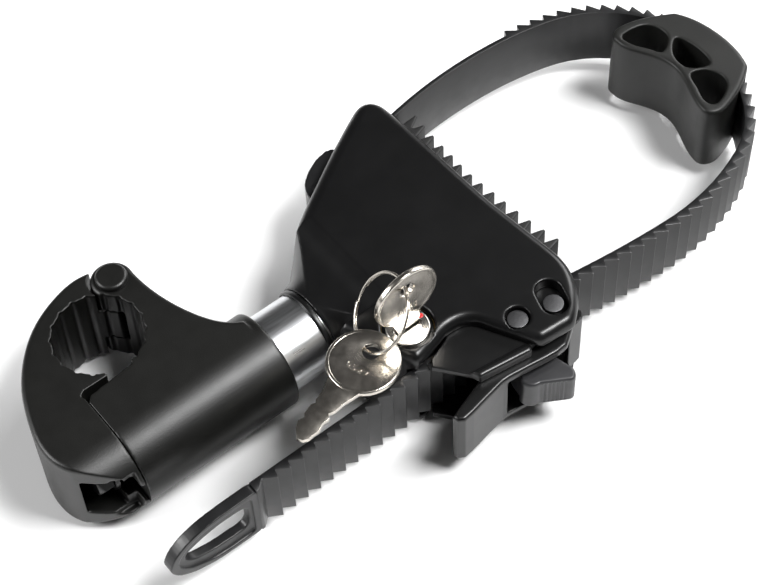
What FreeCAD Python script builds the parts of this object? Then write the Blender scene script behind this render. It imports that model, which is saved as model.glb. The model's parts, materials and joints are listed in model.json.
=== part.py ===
# Lockable frame holder of a bicycle carrier: a hinged clamp on a tube, a head
# with a ratchet strap, lever, release pawl, key lock and rubber pad.
# Millimetres. Z is up: it is the axis of the clamp bore, and the holder lies on
# its side. X runs along the aluminium tube, from the clamp to the head.
# The origin is the middle of the clamp bore.
import FreeCAD, Part
import math
import os

Vec = FreeCAD.Vector

# ---------------------------------------------------------------- dimensions
CLAMP_HALF = 17.25        # half height of the clamp
BORE_R = 15.0             # clamp bore, for a 30 mm bar
BORE_RIBS = 18            # grip flutes round the bore
HINGE = (15.5, 15.0)      # hinge pin of the jaw
HINGE_PIN_R = 3.0
KNUCKLE_R = 7.3
SPLIT_X = -16.4           # plane where jaw and body meet
TUBE_Y = -32.4            # axis of the tube
TUBE_R = 14.25
TUBE_BORE = 12.25
TUBE_X0, TUBE_X1 = -3.6, 74.0
SOCK_R = 17.25
SOCK_END = 42.4
COLLAR_X0, COLLAR_X1 = 57.6, 59.6
NECK_X = 59.9
HALF = 20.0               # half thickness of the head
WALL = 3.0
STRAP_W = 25.0
STRAP_T = 1.7             # strap under the teeth
TOOTH = 2.35
PITCH = 5.04
TOOTH_RUN = 4.35
CHEEK_IN, CHEEK_OUT = 12.8, 15.2
PAWL_PIN = (106.3, -81.9)
LEVER_PIN = (119.0, -84.6)
DRIVE_PIN = (120.4, -79.5)
PIN_R = 3.0
LOCK = (77.4, -62.0)
SCREWS = [(113.0, 3.0), (121.0, -30.0), (87.0, -9.0), (95.0, -46.0)]
PAD_HALF = 15.0
ARC_C = (187.79, -34.72)  # middle of the loop's round end, at the pad
ARC_R = 46.7              # inner face of the strap there

os.makedirs("parts", exist_ok=True)
made = {}


def save(name, shape):
    solids = shape.Solids
    if len(solids) == 1:
        shape = solids[0]
    made[name] = shape
    shape.exportStep("parts/%s.step" % name)
    b = shape.BoundBox
    print("%-20s solids %d valid %s vol %.0f  x %.1f %.1f y %.1f %.1f z %.1f %.1f" % (
        name, len(solids), shape.isValid(), shape.Volume, b.XMin, b.XMax, b.YMin, b.YMax, b.ZMin, b.ZMax))


def poly(pts, z0, z1):
    w = Part.makePolygon([Vec(x, y, z0) for x, y in pts] + [Vec(pts[0][0], pts[0][1], z0)])
    return Part.Face(w).extrude(Vec(0, 0, z1 - z0))


def spline(pts, z):
    c = Part.BSplineCurve()
    c.interpolate([Vec(x, y, z) for x, y in pts])
    return c.toShape()


def runs(parts, z0, z1):
    """parts: list of point lists; each list of 2 is a line, of more a smooth curve."""
    edges = []
    for p in parts:
        if len(p) == 2:
            edges.append(Part.makeLine(Vec(p[0][0], p[0][1], z0), Vec(p[1][0], p[1][1], z0)))
        else:
            edges.append(spline(p, z0))
    w = Part.Wire(Part.__sortEdges__(edges))
    return Part.Face(w).extrude(Vec(0, 0, z1 - z0))


def cyl(r, x, y, z0, z1):
    return Part.makeCylinder(r, z1 - z0, Vec(x, y, z0), Vec(0, 0, 1))


def xcyl(r, x0, x1, y=TUBE_Y, z=0.0):
    return Part.makeCylinder(r, x1 - x0, Vec(x0, y, z), Vec(1, 0, 0))


def box(x0, x1, y0, y1, z0, z1):
    return Part.makeBox(x1 - x0, y1 - y0, z1 - z0, Vec(x0, y0, z0))


def hexa(af, x, y, z0, z1, turn=0.0):
    r = af / math.sqrt(3.0)
    return poly([(x + r * math.cos(math.radians(turn + 60 * i)), y + r * math.sin(math.radians(turn + 60 * i)))
                 for i in range(6)], z0, z1)


def xhexa(af, x0, x1, y=TUBE_Y, z=0.0):
    r = af / math.sqrt(3.0)
    pts = [Vec(x0, y + r * math.cos(math.radians(60 * i)), z + r * math.sin(math.radians(60 * i))) for i in range(7)]
    return Part.Face(Part.makePolygon(pts)).extrude(Vec(x1 - x0, 0, 0))


def soften(shape, r, want, chamfer=False):
    """Rounds the edges that want() picks; tries smaller radii before giving up."""
    edges = [e for e in shape.Edges if want(e)]
    if not edges:
        return shape
    for k in (1.0, 0.8, 0.6, 0.4):
        try:
            out = shape.makeChamfer(r * k, edges) if chamfer else shape.makeFillet(r * k, edges)
            if out.isValid() and out.Volume > 0.5 * shape.Volume:
                return out
        except Exception:
            pass
    print("  soften failed", r, len(edges))
    return shape


def flat_at(e, z, tol=1e-3):
    b = e.BoundBox
    return abs(b.ZMin - z) < tol and abs(b.ZMax - z) < tol


# ------------------------------------------------------------------ the clamp
def ribbed_bore(half):
    """Bore with shallow upright flutes between its lands."""
    out = cyl(BORE_R, 0, 0, -half - 1, half + 1)
    for i in range(BORE_RIBS):
        t = 2 * math.pi * (i + 0.5) / BORE_RIBS
        out = out.fuse(cyl(1.0, (BORE_R - 0.4) * math.cos(t), (BORE_R - 0.4) * math.sin(t), -half - 1, half + 1))
    return out.removeSplitter()


bore = ribbed_bore(CLAMP_HALF)
half_space = box(-60, 60, TUBE_Y, 60, -30, 30)
body_plan = runs([
    [(SPLIT_X, TUBE_Y), (SPLIT_X, -19.2)],
    [(SPLIT_X, -19.2), (-14.6, -17.4)],
    [(-14.6, -17.4), (2.4, -15.9)],
    [(2.4, -15.9), (2.0, -10.0)],
    [(2.0, -10.0), (8.6, 9.0)],
    [(8.6, 9.0), (15.5, 14.0)],
    [(15.5, 14.0), (22.7, 14.0)],
    [(22.7, 14.0), (23.4, 5.3), (26.3, -6.3), (30.0, -15.0), (34.0, -21.0), (39.0, -25.0)],
    [(39.0, -25.0), (39.0, TUBE_Y)],
    [(39.0, TUBE_Y), (SPLIT_X, TUBE_Y)],
], -CLAMP_HALF, CLAMP_HALF)
knuckle = cyl(KNUCKLE_R, HINGE[0], HINGE[1], -CLAMP_HALF, CLAMP_HALF)
body = body_plan.fuse(knuckle).fuse(xcyl(SOCK_R, SPLIT_X, SOCK_END))
body = body.removeSplitter()
body = soften(body, 1.6, lambda e: (flat_at(e, CLAMP_HALF) or flat_at(e, -CLAMP_HALF)) and e.BoundBox.XMax > 21.5
              and e.BoundBox.YMax > -26 and e.Length > 8)
body = soften(body, 1.2, lambda e: abs(e.BoundBox.XMin - SOCK_END) < 1e-3 and e.Length > 60)
body = body.cut(poly([(-30, -19.35), (SPLIT_X, -19.35), (-14.6, -17.55), (2.4, -16.0), (2.4, 0.0), (-30, 0.0)], -30, 30))
body = body.cut(bore)
body = body.cut(cyl(KNUCKLE_R + 0.7, HINGE[0], HINGE[1], -7.9, 7.9))
body = body.cut(poly([(HINGE[0] - 9, HINGE[1] + 9), (HINGE[0] - 12, HINGE[1] - 1), (HINGE[0] - 4, HINGE[1] - 6),
                      (HINGE[0] + 3.5, HINGE[1] + 1), (HINGE[0] + 3, HINGE[1] + 9)], -7.9, 7.9))
body = body.cut(cyl(HINGE_PIN_R + 0.02, HINGE[0], HINGE[1], -30, 30))
body = body.cut(cyl(5.4, HINGE[0], HINGE[1], -30, -CLAMP_HALF + 2.4))
body = body.cut(xcyl(TUBE_R + 0.05, -4.0, 60))
body = body.cut(xcyl(4.5, SPLIT_X - 1, 0))
body = body.cut(xhexa(13.3, -12.3, -3.0))
body = body.cut(Part.makeCylinder(2.03, 10, Vec(32.0, TUBE_Y, -20), Vec(0, 0, 1)))
save("clamp_body", body)

JAW_R = SPLIT_X - 0.3
jaw_plan = runs([
    [(11.2, 22.4), (5.0, 23.0), (-1.5, 21.8), (-14.7, 15.8), (-25.3, 6.0), (-31.0, -2.6), (-34.6, -11.1), (-37.2, -20.0),
     (-37.6, -28.0), (-34.4, -36.3)],
    [(-34.4, -36.3), (-27.9, -42.3), (-23.2, -45.4), (JAW_R, -48.6)],
    [(JAW_R, -48.6), (JAW_R, -17.6)],
    [(JAW_R, -17.6), (-17.2, -16.0)],
    [(-17.2, -16.0), (-15.6, -14.9)],
    [(-15.6, -14.9), (-6.4, -14.9)],
    [(-6.4, -14.9), (-6.0, -9.0)],
    [(-6.0, -9.0), (0.0, 9.0)],
    [(0.0, 9.0), (11.0, 9.8)],
    [(11.0, 9.8), (11.2, 22.4)],
], -CLAMP_HALF, CLAMP_HALF)
jaw = jaw_plan
jaw = soften(jaw, 1.8, lambda e: flat_at(e, CLAMP_HALF) and e.BoundBox.XMin < -37 and e.Length > 40)
jaw = soften(jaw, 0.6, lambda e: flat_at(e, -CLAMP_HALF) and e.BoundBox.XMin < -37 and e.Length > 40)
jaw = jaw.common(half_space.fuse(xcyl(SOCK_R, -60, 60)))
jaw = jaw.cut(cyl(KNUCKLE_R + 0.7, HINGE[0], HINGE[1], 7.6, 30))
jaw = jaw.cut(cyl(KNUCKLE_R + 0.7, HINGE[0], HINGE[1], -30, -7.6))
jaw = jaw.fuse(cyl(KNUCKLE_R, HINGE[0], HINGE[1], -7.6, 7.6))
jaw = jaw.cut(bore)
jaw = jaw.cut(box(2, 30, -30, 8.6, -30, 30))
jaw = jaw.cut(cyl(HINGE_PIN_R + 0.02, HINGE[0], HINGE[1], -30, 30))
# recess for the clamp bolt's head, open towards -Y, and the slot that its shank leaves by
jaw = jaw.cut(box(-33.4, -21.5, -70, -23.2, -9.4, 9.4))
jaw = jaw.cut(box(-32.2, -18.3, -70, -43.0, -10.6, 10.6))
jaw = jaw.cut(box(-22.0, -10.0, -70, TUBE_Y, -4.6, 4.6)).cut(xcyl(4.6, -22.0, -10.0))
jaw = jaw.removeSplitter()
save("clamp_jaw", jaw)

pin = cyl(HINGE_PIN_R, HINGE[0], HINGE[1], -CLAMP_HALF + 0.5, CLAMP_HALF + 0.1)
cap_r = 5.65
cap = cyl(cap_r, HINGE[0], HINGE[1], CLAMP_HALF + 0.05, CLAMP_HALF + 2.0)
cap = soften(cap, 1.4, lambda e: flat_at(e, CLAMP_HALF + 2.0))
pin = pin.fuse(cap)
pin = pin.cut(cyl(6, HINGE[0], HINGE[1], -16.3, -15.5).cut(cyl(2.4, HINGE[0], HINGE[1], -16.3, -15.5))).removeSplitter()
save("clamp_hinge_pin", pin)
clip = cyl(4.9, HINGE[0], HINGE[1], -16.2, -15.6).cut(cyl(2.5, HINGE[0], HINGE[1], -17, -15))
clip = clip.cut(box(HINGE[0] - 1.6, HINGE[0] + 1.6, HINGE[1] - 8, HINGE[1], -17, -15))
save("hinge_pin_clip", clip)

bolt = xhexa(13.0, -28.5, -23.2)
bolt = bolt.common(Part.makeCone(6.2, 8.2, 2.2, Vec(-28.5, TUBE_Y, 0), Vec(1, 0, 0)).fuse(xcyl(8.2, -26.3, -23.0)))
bolt = bolt.fuse(xcyl(4.0, -23.2, 37.0))
bolt = soften(bolt, 0.8, lambda e: abs(e.BoundBox.XMin - 37.0) < 1e-3, chamfer=True)
save("clamp_bolt", bolt)
save("clamp_washer", xcyl(8.0, -23.1, -21.6).cut(xcyl(4.2, -30, -10)))
save("clamp_nut", xhexa(13.0, -12.2, -5.7).cut(xcyl(4.06, -20, 0)))

# ------------------------------------------------------------------- the tube
tube = xcyl(TUBE_R, TUBE_X0, TUBE_X1).cut(xcyl(TUBE_BORE, TUBE_X0 - 1, TUBE_X1 + 1))
tube = tube.cut(xcyl(20, 69.95, 71.55).cut(xcyl(13.3, 69.95, 71.55)))
tube = tube.cut(Part.makeCylinder(2.03, 8, Vec(32.0, TUBE_Y, -18), Vec(0, 0, 1)))
save("tube", tube)
save("tube_pin", Part.makeCylinder(2.0, 5.9, Vec(32.0, TUBE_Y, -16.8), Vec(0, 0, 1)))
col = xcyl(15.3, COLLAR_X0, COLLAR_X1).cut(xcyl(TUBE_R + 0.04, 50, 65))
col = soften(col, 0.6, lambda e: abs(e.BoundBox.XMin - COLLAR_X0) < 1e-3 and e.Length > 94)
save("tube_collar", col)
ret = xcyl(16.0, 70.05, 71.45).cut(xcyl(13.36, 65, 75)).cut(box(65, 75, TUBE_Y - 3, TUBE_Y + 3, 0, 30))
save("tube_retainer", ret)

# -------------------------------------------------------------------- housing
def arc_or_line(pts, z):
    """2 points make a line, 3 points an arc."""
    v = [Vec(x, y, z) for x, y in pts]
    return Part.makeLine(v[0], v[1]) if len(v) == 2 else Part.Arc(v[0], v[1], v[2]).toShape()


def plan(parts, z0, z1):
    w = Part.Wire(Part.__sortEdges__([arc_or_line(p, z0) for p in parts]))
    return Part.Face(w).extrude(Vec(0, 0, z1 - z0))


HEAD = [
    [(59.9, -17.0), (65.4, -13.9), (71.5, -9.6)],
    [(71.5, -9.6), (94.0, 5.0), (118.0, 18.6)],
    [(118.0, 18.6), (123.4, 19.6), (127.6, 16.0)],
    [(127.6, 16.0), (129.2, -12.0), (130.0, -40.0)],
    [(130.0, -40.0), (133.0, -70.5)],
    [(133.0, -70.5), (130.6, -81.4), (124.8, -90.2)],
    [(124.8, -90.2), (119.4, -94.6)],
    [(119.4, -94.6), (106.4, -93.4)],
    [(106.4, -93.4), (97.6, -77.2)],
    [(97.6, -77.2), (94.9, -73.2), (90.4, -71.0)],
    [(90.4, -71.0), (85.8, -70.9)],
    [(85.8, -70.9), (73.4, -74.4)],
    [(73.4, -74.4), (70.4, -73.4)],
    [(70.4, -73.4), (59.9, -47.8)],
    [(59.9, -47.8), (59.9, -17.0)],
]
outer = plan(HEAD, -HALF, HALF)


def rim_edges(x0, x1, y0, y1):
    def want(e):
        c = e.CenterOfMass
        return (flat_at(e, HALF) or flat_at(e, -HALF)) and x0 < c.x < x1 and y0 < c.y < y1
    return want


# side view: the head thins towards the neck
side = [(59.0, 15.7), (64.0, 16.0), (71.5, 17.4), (79.0, 20.0), (84.0, 22.6)]
pts = side + [(84.0, 30.0)] + [(50.0, 30.0), (50.0, 15.7)]
above = poly([(40, -48.6), (62, -48.6), (90, -44.0), (90, 60), (40, 60)], -80, 80)
for sgn in (1, -1):
    w = Part.makePolygon([Vec(x, -120, sgn * z) for x, z in pts] + [Vec(pts[0][0], -120, sgn * pts[0][1])])
    outer = outer.cut(Part.Face(w).extrude(Vec(0, 160, 0)).common(above))
# round neck opening into the flat head
ring_pts = [(50.0, 15.7), (60.4, 15.7), (65.0, 18.4), (70.0, 24.4), (75.0, 33.0), (80.0, 45.0), (80.0, 70.0), (50.0, 70.0)]
w = Part.makePolygon([Vec(x, TUBE_Y + r, 0) for x, r in ring_pts] + [Vec(50.0, TUBE_Y + 15.7, 0)])
outer = outer.cut(Part.Face(w).revolve(Vec(0, TUBE_Y, 0), Vec(1, 0, 0), 360).common(above))
head_block = outer

cav = poly([(76.0, -53.0), (76.0, -10.0), (84.0, -5.2), (104.0, 7.2), (116.0, 13.6), (121.4, 15.6), (125.4, 11.0), (124.6, 2.0),
            (124.0, -15.8), (124.8, -32.0), (126.0, -48.0), (127.0, -64.0), (127.0, -68.0), (69.5, -68.0), (69.5, -62.0)], -17, 17)
mouth = poly([(73.0, -67.0), (150, -67.0), (150, -120), (60, -120), (72.0, -76.0)], -15.35, 15.35)
sleeve = xcyl(18.6, 60, 75.8)
inner = cav.fuse(mouth)
hollow = inner.cut(xcyl(18.0, 59, 69.7))
outer = outer.cut(hollow)
outer = outer.cut(xcyl(TUBE_R + 0.1, 50, 69.8)).cut(xcyl(16.5, 69.7, 75.9)).cut(xcyl(TUBE_R + 0.1, 50, 78))
# bosses for the four cover screws
for x, y in SCREWS:
    outer = outer.fuse(cyl(4.6, x, y, -17.5, 17.5))
# strap slot through the top corner, from the right edge to the left side
sh = math.radians(190.18)
sx, sy = 133.0, 12.305
ux, uy = math.cos(sh), math.sin(sh)
nx, ny = -math.sin(sh + math.pi) , math.cos(sh + math.pi)      # outward side of the strap (+Y)


def along(s, d):
    return (sx + ux * s + nx * d, sy + uy * s + ny * d)


outer = outer.cut(poly([along(-8, -0.4), along(60, -0.4), along(60, 4.4), along(-8, 4.4)], -12.9, 12.9))
# seat of the rubber liner in the right edge
seat_poly = [(127.9, 9.0), (127.2, 2.4), (126.6, -15.8), (127.4, -32.2), (128.8, -48.0), (130.3, -62.6), (130.6, -66.6)]
outer = outer.cut(poly(seat_poly + [(150, -66.6), (150, 9.0)], -13.1, 13.1))
# lock, pins, screws
outer = outer.cut(cyl(8.75, LOCK[0], LOCK[1], -14.5, 30)).cut(cyl(10.3, LOCK[0], LOCK[1], 13.2, 17.1))
outer = outer.cut(box(60, 80, -79, -71.2, -12.9, 12.9)).cut(box(72.0, 80.5, LOCK[1], -47.4, -14.5, -7.8))
outer = outer.cut(cyl(4.1, PAWL_PIN[0], PAWL_PIN[1], -30, 30))
ax, ay = 0.24, 0.97
slot = cyl(4.5, LEVER_PIN[0], LEVER_PIN[1] - 0.7, -30, 30).fuse(cyl(4.5, LEVER_PIN[0] + 1.4, LEVER_PIN[1] + 4.0, -30, 30))
slot = slot.fuse(poly([(LEVER_PIN[0] - 4.31, LEVER_PIN[1] + 0.6), (LEVER_PIN[0] - 2.91, LEVER_PIN[1] + 5.3),
                       (LEVER_PIN[0] + 5.71, LEVER_PIN[1] + 2.7), (LEVER_PIN[0] + 4.31, LEVER_PIN[1] - 2.0)], -30, 30))
outer = outer.cut(slot)
front = outer.common(box(0, 200, -150, 100, 0.0, 40))
rear = outer.common(box(0, 200, -150, 100, -40, 0.0))
for x, y in SCREWS:
    front = front.cut(cyl(1.78, x, y, -1, 9.5))
    rear = rear.cut(cyl(1.95, x, y, -30, 1)).cut(cyl(3.5, x, y, -30, -16.6))
front = front.removeSplitter()
rear = rear.removeSplitter()
save("housing_front", front)
save("housing_rear", rear)
scr = []
for x, y in SCREWS:
    s = cyl(1.75, x, y, -16.7, 8.8).fuse(cyl(3.2, x, y, -19.2, -16.6))
    s = soften(s, 0.8, lambda e: flat_at(e, -19.2))
    s = s.cut(hexa(2.5, x, y, -20, -17.7))
    scr.append(s)
save("cover_screws", Part.makeCompound(scr))

# ----------------------------------------------------------------- jaw liner
lin_edge = [(128.0, 7.6), (127.4, 2.4), (126.8, -15.8), (127.6, -32.2), (129.0, -48.0), (130.5, -62.6), (130.8, -65.4)]
out_edge = [(x + 2.6, y) for x, y in lin_edge]
liner = poly(lin_edge + out_edge[::-1], -12.9, 12.9)
tips = [(137.2, 7.4), (136.5, 2.2), (136.1, -3.2), (135.9, -8.7), (135.7, -13.9), (135.5, -19.0), (135.5, -24.4), (135.9, -29.6),
        (136.4, -35.0), (136.9, -40.4), (137.5, -46.0), (138.2, -51.7), (139.2, -57.5), (140.3, -63.2)]


def edge_x(y, pts):
    for (x0, y0), (x1, y1) in zip(pts[:-1], pts[1:]):
        if y1 <= y <= y0:
            return x0 + (x1 - x0) * (y - y0) / (y1 - y0)
    return pts[0][0] if y > pts[0][1] else pts[-1][0]


for tx, ty in tips:
    yb = min(max(ty, -62.8), 5.0)
    bx = edge_x(yb, out_edge) - 0.4
    w = 2.45
    liner = liner.fuse(poly([(bx, yb + w), (tx - 0.2, ty + 0.45), (tx - 0.2, ty - 0.45), (bx, yb - w)], -12.5, 12.5))
liner = liner.removeSplitter()
save("jaw_liner", liner)

# -------------------------------------------------------------------- strap
# Inner face as tangent runs, from the tail to the anchor: (length, signed radius)
START = (6.5, -72.0)


def strap_path():
    """Returns samples (x, y, heading, s) of the strap's inner face, walking +X from the tail."""
    segs = [(99.5, 0.0), (8.64, -49.9), (15.32, 0.0), (42.82, 365.5), (39.7, 87.0), (20.99, 35.7), (2.52, 44.15),
            (85.69, 46.7), (22.95, 130.2), (44.46, 169.1), (43.5, 0.0)]
    return segs


def walk(segs, step=None):
    x, y = START
    h = 0.0
    s = 0.0
    out = [(x, y, h, s)]
    for L, R in segs:
        n = max(1, int(round(L / 1.3)))
        for i in range(n):
            d = L / n
            if R == 0.0:
                x += d * math.cos(h); y += d * math.sin(h)
            else:
                h2 = h + d / R
                x += R * (math.sin(h2) - math.sin(h)); y += -R * (math.cos(h2) - math.cos(h))
                h = h2
            s += d
            out.append((x, y, h, s))
    return out


path = walk(strap_path())
S_END = path[-1][3]


def at(s, d):
    """Point at length s along the inner face, d outwards (to the right when walking +X)."""
    for a, b in zip(path[:-1], path[1:]):
        if a[3] <= s <= b[3] + 1e-9:
            f = (s - a[3]) / (b[3] - a[3])
            x = a[0] + (b[0] - a[0]) * f; y = a[1] + (b[1] - a[1]) * f
            h = a[2] + (b[2] - a[2]) * f
            return (x + d * math.sin(h), y - d * math.cos(h))
    a = path[-1]
    return (a[0] + d * math.sin(a[2]), a[1] - d * math.cos(a[2]))


ROOT0 = 15.4 - START[0] - PITCH   # first root on the tail
teeth = []
s = ROOT0
N_TEETH = 0
TEETH_END = 332.0
while s + PITCH < TEETH_END:
    teeth.append(s)
    s += PITCH
    N_TEETH += 1
outer_pts = [at(0.0, 4.05), at(1.2, 4.05), at(teeth[0] - 0.2, STRAP_T)]
for s in teeth:
    outer_pts.append(at(s, STRAP_T))
    outer_pts.append(at(s + TOOTH_RUN, STRAP_T + TOOTH))
last = teeth[-1] + PITCH
outer_pts.append(at(last, STRAP_T))
s = last + 1.5
while s < S_END:
    outer_pts.append(at(s, STRAP_T))
    s += 1.5
outer_pts.append(at(S_END, STRAP_T))
inner_pts = [(p[0], p[1]) for p in path]
# thin out the straight parts
keep = [inner_pts[0]]
for i in range(1, len(inner_pts) - 1):
    if abs(path[i + 1][2] - path[i - 1][2]) > 1e-6:
        keep.append(inner_pts[i])
keep.append(inner_pts[-1])
strap_band = poly(outer_pts + keep[::-1], -STRAP_W / 2, STRAP_W / 2)
# tail tip: thicker, bullet shaped in side view, with a long slot
tip_out = [(6.9, 12.5), (-0.3, 12.5), (-8.0, 12.4), (-14.3, 11.8), (-20.4, 9.6), (-25.0, 5.8), (-27.6, 1.2), (-27.2, -2.0),
           (-24.4, -6.4), (-19.0, -9.8), (-12.0, -12.0), (-7.1, -12.5), (6.9, -12.5)]


def side_prism(pts, y0, y1):
    w = Part.makePolygon([Vec(x, y0, z) for x, z in pts] + [Vec(pts[0][0], y0, pts[0][1])])
    return Part.Face(w).extrude(Vec(0, y1 - y0, 0))


tip = side_prism(tip_out, -76.1, -71.9)
hole = side_prism([(1.6, 6.2), (3.0, 4.0), (3.0, -4.0), (1.6, -6.2), (-10.6, -5.6), (-18.5, -3.4), (-21.6, 0.0), (-20.6, 3.0),
                   (-14.0, 5.4), (-7.4, 6.6)], -80, -68)
tip = tip.cut(hole)
# anchor head outside the housing's left side
headp = poly([(86.6, 0.9), (87.0, 4.6), (89.2, 8.9), (93.4, 12.3), (98.6, 14.7), (103.6, 15.6), (106.6, 14.4), (107.4, 13.4)], -12.5, 12.5)
headp = soften(headp, 1.6, lambda e: (flat_at(e, 12.5) or flat_at(e, -12.5)) and e.BoundBox.YMax > 5)
strap = strap_band.fuse(tip)
strap = strap.fuse(headp.cut(head_block)).removeSplitter()
save("strap", strap)
print("strap length", round(S_END, 1), "teeth", N_TEETH, "end", [round(v, 2) for v in path[-1][:2]], round(math.degrees(path[-1][2]), 2))

# --------------------------------------------------------------------- pad
pad_pts = [
    [(210.9, -13.2), (211.6, -10.2), (214.4, -8.6), (218.6, -8.7), (227.3, -11.6), (235.6, -16.2)],
    [(235.6, -16.2), (239.2, -23.5), (240.9, -32.0), (240.9, -41.5), (238.4, -50.6)],
    [(238.4, -50.6), (231.2, -55.2), (221.6, -58.8), (216.9, -59.3), (213.6, -57.6), (212.7, -54.0)],
    [(212.7, -54.0), (213.9, -49.0), (217.2, -40.5), (218.3, -34.0), (217.2, -28.6), (214.2, -22.6), (211.6, -17.6), (210.9, -13.2)],
]
pad = runs(pad_pts, -PAD_HALF, PAD_HALF)
pad = soften(pad, 1.4, lambda e: flat_at(e, PAD_HALF) or flat_at(e, -PAD_HALF))
for h in ([(214.1, -12.6), (222.4, -13.6), (225.9, -17.9), (225.4, -23.4), (219.9, -26.6), (217.0, -22.4), (214.3, -17.4)],
          [(222.3, -30.6), (227.8, -25.9), (230.0, -33.5), (228.6, -41.2), (221.9, -37.6)],
          [(220.4, -41.2), (225.1, -42.6), (227.9, -47.6), (226.4, -52.2), (221.1, -55.2), (217.4, -55.4), (216.2, -52.4), (218.0, -47.0)]):
    hs = poly(h, -30, 30)
    hs = soften(hs, 1.3, lambda e: abs(e.BoundBox.ZMax - e.BoundBox.ZMin) > 10)
    pad = pad.cut(hs)
tun = Part.makeCylinder(ARC_R + STRAP_T + TOOTH + 0.35, STRAP_W + 0.8, Vec(ARC_C[0], ARC_C[1], -STRAP_W / 2 - 0.4))
tun = tun.cut(Part.makeCylinder(ARC_R - 0.35, STRAP_W + 4, Vec(ARC_C[0], ARC_C[1], -STRAP_W / 2 - 2)))
tun = tun.common(box(205, 260, -70, 10, -30, 30))
pad = pad.cut(tun).removeSplitter()
save("strap_pad", pad)

# ------------------------------------------------------------ ratchet frame
cheek = [(80.6, -73.0), (77.0, -74.2), (75.2, -76.8), (83.3, -87.2), (105.0, -90.6), (112.0, -91.6), (117.5, -90.6), (122.2, -91.0), (126.4, -86.4),
         (129.8, -80.5), (131.2, -76.0), (131.4, -68.0), (88.0, -68.0), (85.4, -71.2)]
pl = poly(cheek, CHEEK_IN, CHEEK_OUT)
ms = poly(cheek, -CHEEK_OUT, -CHEEK_IN)
bar = poly([(90.0, -71.4), (112.0, -71.4), (121.5, -72.6), (128.0, -73.4), (128.0, -68.0), (90.0, -68.0)], -CHEEK_OUT, CHEEK_OUT)
lip = poly([(83.2, -86.8), (84.2, -89.9), (103.0, -92.7), (104.3, -91.4), (103.4, -89.5)], 12.8, 16.6)
lip = soften(lip, 1.2, lambda e: flat_at(e, 16.6))
frame = pl.fuse(ms).fuse(bar).fuse(lip)
frame = frame.cut(cyl(PIN_R + 0.03, PAWL_PIN[0], PAWL_PIN[1], -30, 30)).cut(cyl(PIN_R + 0.03, LEVER_PIN[0], LEVER_PIN[1], -30, 30))
# arc slots where the drive pawl's pin swings
frame = frame.removeSplitter()
save("ratchet_frame", frame)


def stud(x, y, half):
    p = cyl(PIN_R, x, y, -half, half)
    return soften(p, 0.5, lambda e: flat_at(e, half) or flat_at(e, -half), chamfer=True)


save("pawl_pin", stud(PAWL_PIN[0], PAWL_PIN[1], 18.8))
save("lever_pin", stud(LEVER_PIN[0], LEVER_PIN[1], 18.8))

# -------------------------------------------------------------------- lever
lev_out = [(125.3, -84.8), (126.5, -87.4), (127.2, -90.0), (125.6, -91.6), (121.0, -92.2), (117.6, -94.6), (115.2, -96.2), (111.0, -96.5), (106.3, -96.0),
           (101.2, -95.2), (93.4, -94.1), (90.5, -94.0), (84.0, -95.1), (76.0, -96.6), (72.2, -97.0), (70.2, -95.8), (69.8, -93.6)]
lev_in = [(72.8, -92.4), (79.6, -90.2), (84.6, -88.6), (100.0, -88.9), (110.5, -89.2), (113.6, -86.2), (114.0, -83.6), (116.0, -80.4)]
ear = lev_out + lev_in + [(119.0, -79.4), (122.2, -80.3), (124.2, -81.5)]
e1 = poly(ear, 9.4, 12.4)
e2 = poly(ear, -12.4, -9.4)
boss = cyl(1.3, DRIVE_PIN[0], DRIVE_PIN[1], 9.4, 12.4).fuse(cyl(1.3, DRIVE_PIN[0], DRIVE_PIN[1], -12.4, -9.4))
paddle = poly([(69.8, -93.6), (70.2, -95.8), (72.2, -97.0), (76.0, -96.6), (84.0, -95.1), (90.5, -94.0), (92.4, -94.0), (92.4, -91.4),
               (84.2, -91.8), (76.0, -93.4), (72.8, -93.0)], -12.4, 12.4)
endweb = poly([(126.5, -87.4), (127.2, -90.0), (125.6, -91.6), (119.6, -92.6), (119.6, -90.6), (123.6, -89.6), (124.0, -87.4)], -12.4, 12.4)
lever = e1.fuse(e2).fuse(boss).fuse(paddle).fuse(endweb).removeSplitter()
lever = soften(lever, 1.2, lambda e: (flat_at(e, 12.4) or flat_at(e, -12.4)) and e.BoundBox.YMax < -91.0 and e.BoundBox.XMax < 118)
lever = lever.cut(cyl(PIN_R + 0.04, LEVER_PIN[0], LEVER_PIN[1], -30, 30)).cut(cyl(0.82, DRIVE_PIN[0], DRIVE_PIN[1], -30, 30))
save("ratchet_lever", lever)
save("drive_pawl_pin", cyl(0.8, DRIVE_PIN[0], DRIVE_PIN[1], -12.3, 12.3))
dx, dy = DRIVE_PIN
dp = cyl(1.6, dx, dy, -2.6, 2.6).fuse(poly([(dx, dy + 1.55), (dx - 0.6, dy - 1.4), (dx - 3.5, dy + 0.5), (dx - 3.8, dy + 1.6), (dx - 2.8, dy + 2.0)], -2.6, 2.6))
dp = dp.cut(cyl(0.83, dx, dy, -5, 5)).removeSplitter()
save("drive_pawl", dp)

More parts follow.
